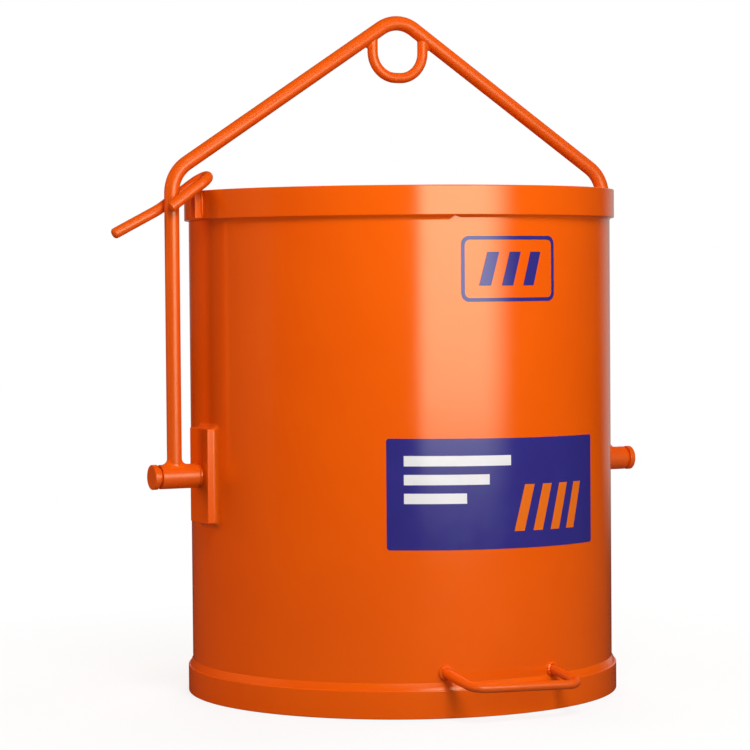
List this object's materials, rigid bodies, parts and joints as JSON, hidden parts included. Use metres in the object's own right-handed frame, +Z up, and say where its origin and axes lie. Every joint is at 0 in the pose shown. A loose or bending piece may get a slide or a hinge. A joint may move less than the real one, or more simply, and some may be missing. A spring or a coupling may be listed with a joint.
{
  "type": "tipping bucket",
  "caption": "Round steel tipping bucket that hangs on trunnions in a rod bail, with a lifting eye, a locking lever on the bail and a tipping handle low on the drum.",
  "frame": {"origin": "on the drum's axis, level with the lower edge of the base hoop that the bucket stands on", "axes": "+Z up along the drum's axis; X along the trunnions, with the locking lever on the -X side; -Y towards the front, where the tipping handle is"},
  "size_m": [0.6516, 0.5435, 0.7671],
  "materials": {
    "orange_enamel": "gloss",
    "bare_steel": "satin"
  },
  "bodies": {
    "drum": {"drum_shell": "orange_enamel", "shell_seam_weld": "orange_enamel", "floor_plate": "orange_enamel", "floor_weld": "orange_enamel", "rim_hoop": "orange_enamel", "rim_hoop_weld": "orange_enamel", "base_hoop": "orange_enamel", "base_hoop_weld": "orange_enamel", "left_trunnion_pad": "orange_enamel", "right_trunnion_pad": "orange_enamel", "left_pad_weld": "orange_enamel", "right_pad_weld": "orange_enamel", "left_trunnion_pin": "orange_enamel", "right_trunnion_pin": "orange_enamel", "left_pin_weld": "orange_enamel", "right_pin_weld": "orange_enamel", "left_pin_cap": "orange_enamel", "right_pin_cap": "orange_enamel", "tipping_handle": "orange_enamel", "handle_welds": "orange_enamel", "latch_catch": "orange_enamel", "latch_catch_weld": "orange_enamel"},
    "bail": {"bail_rod": "orange_enamel", "left_bail_sleeve": "orange_enamel", "right_bail_sleeve": "orange_enamel", "left_foot_weld": "orange_enamel", "right_foot_weld": "orange_enamel", "lifting_eye": "orange_enamel", "eye_welds": "orange_enamel"},
    "latch": {"latch_lever": "orange_enamel", "latch_pin": "bare_steel"}
  },
  "joints": [
    {"name": "bail_swing", "type": "hinge", "parent": "drum", "child": "bail", "pos_m": [0, 0, 0.252], "axis": [1, 0, 0], "range_deg": [-115, 115]},
    {"name": "lever_lift", "type": "hinge", "parent": "bail", "child": "latch", "pos_m": [-0.2795, 0, 0.5527], "axis": [0, -1, 0], "range_deg": [-4, 11]}
  ]
}
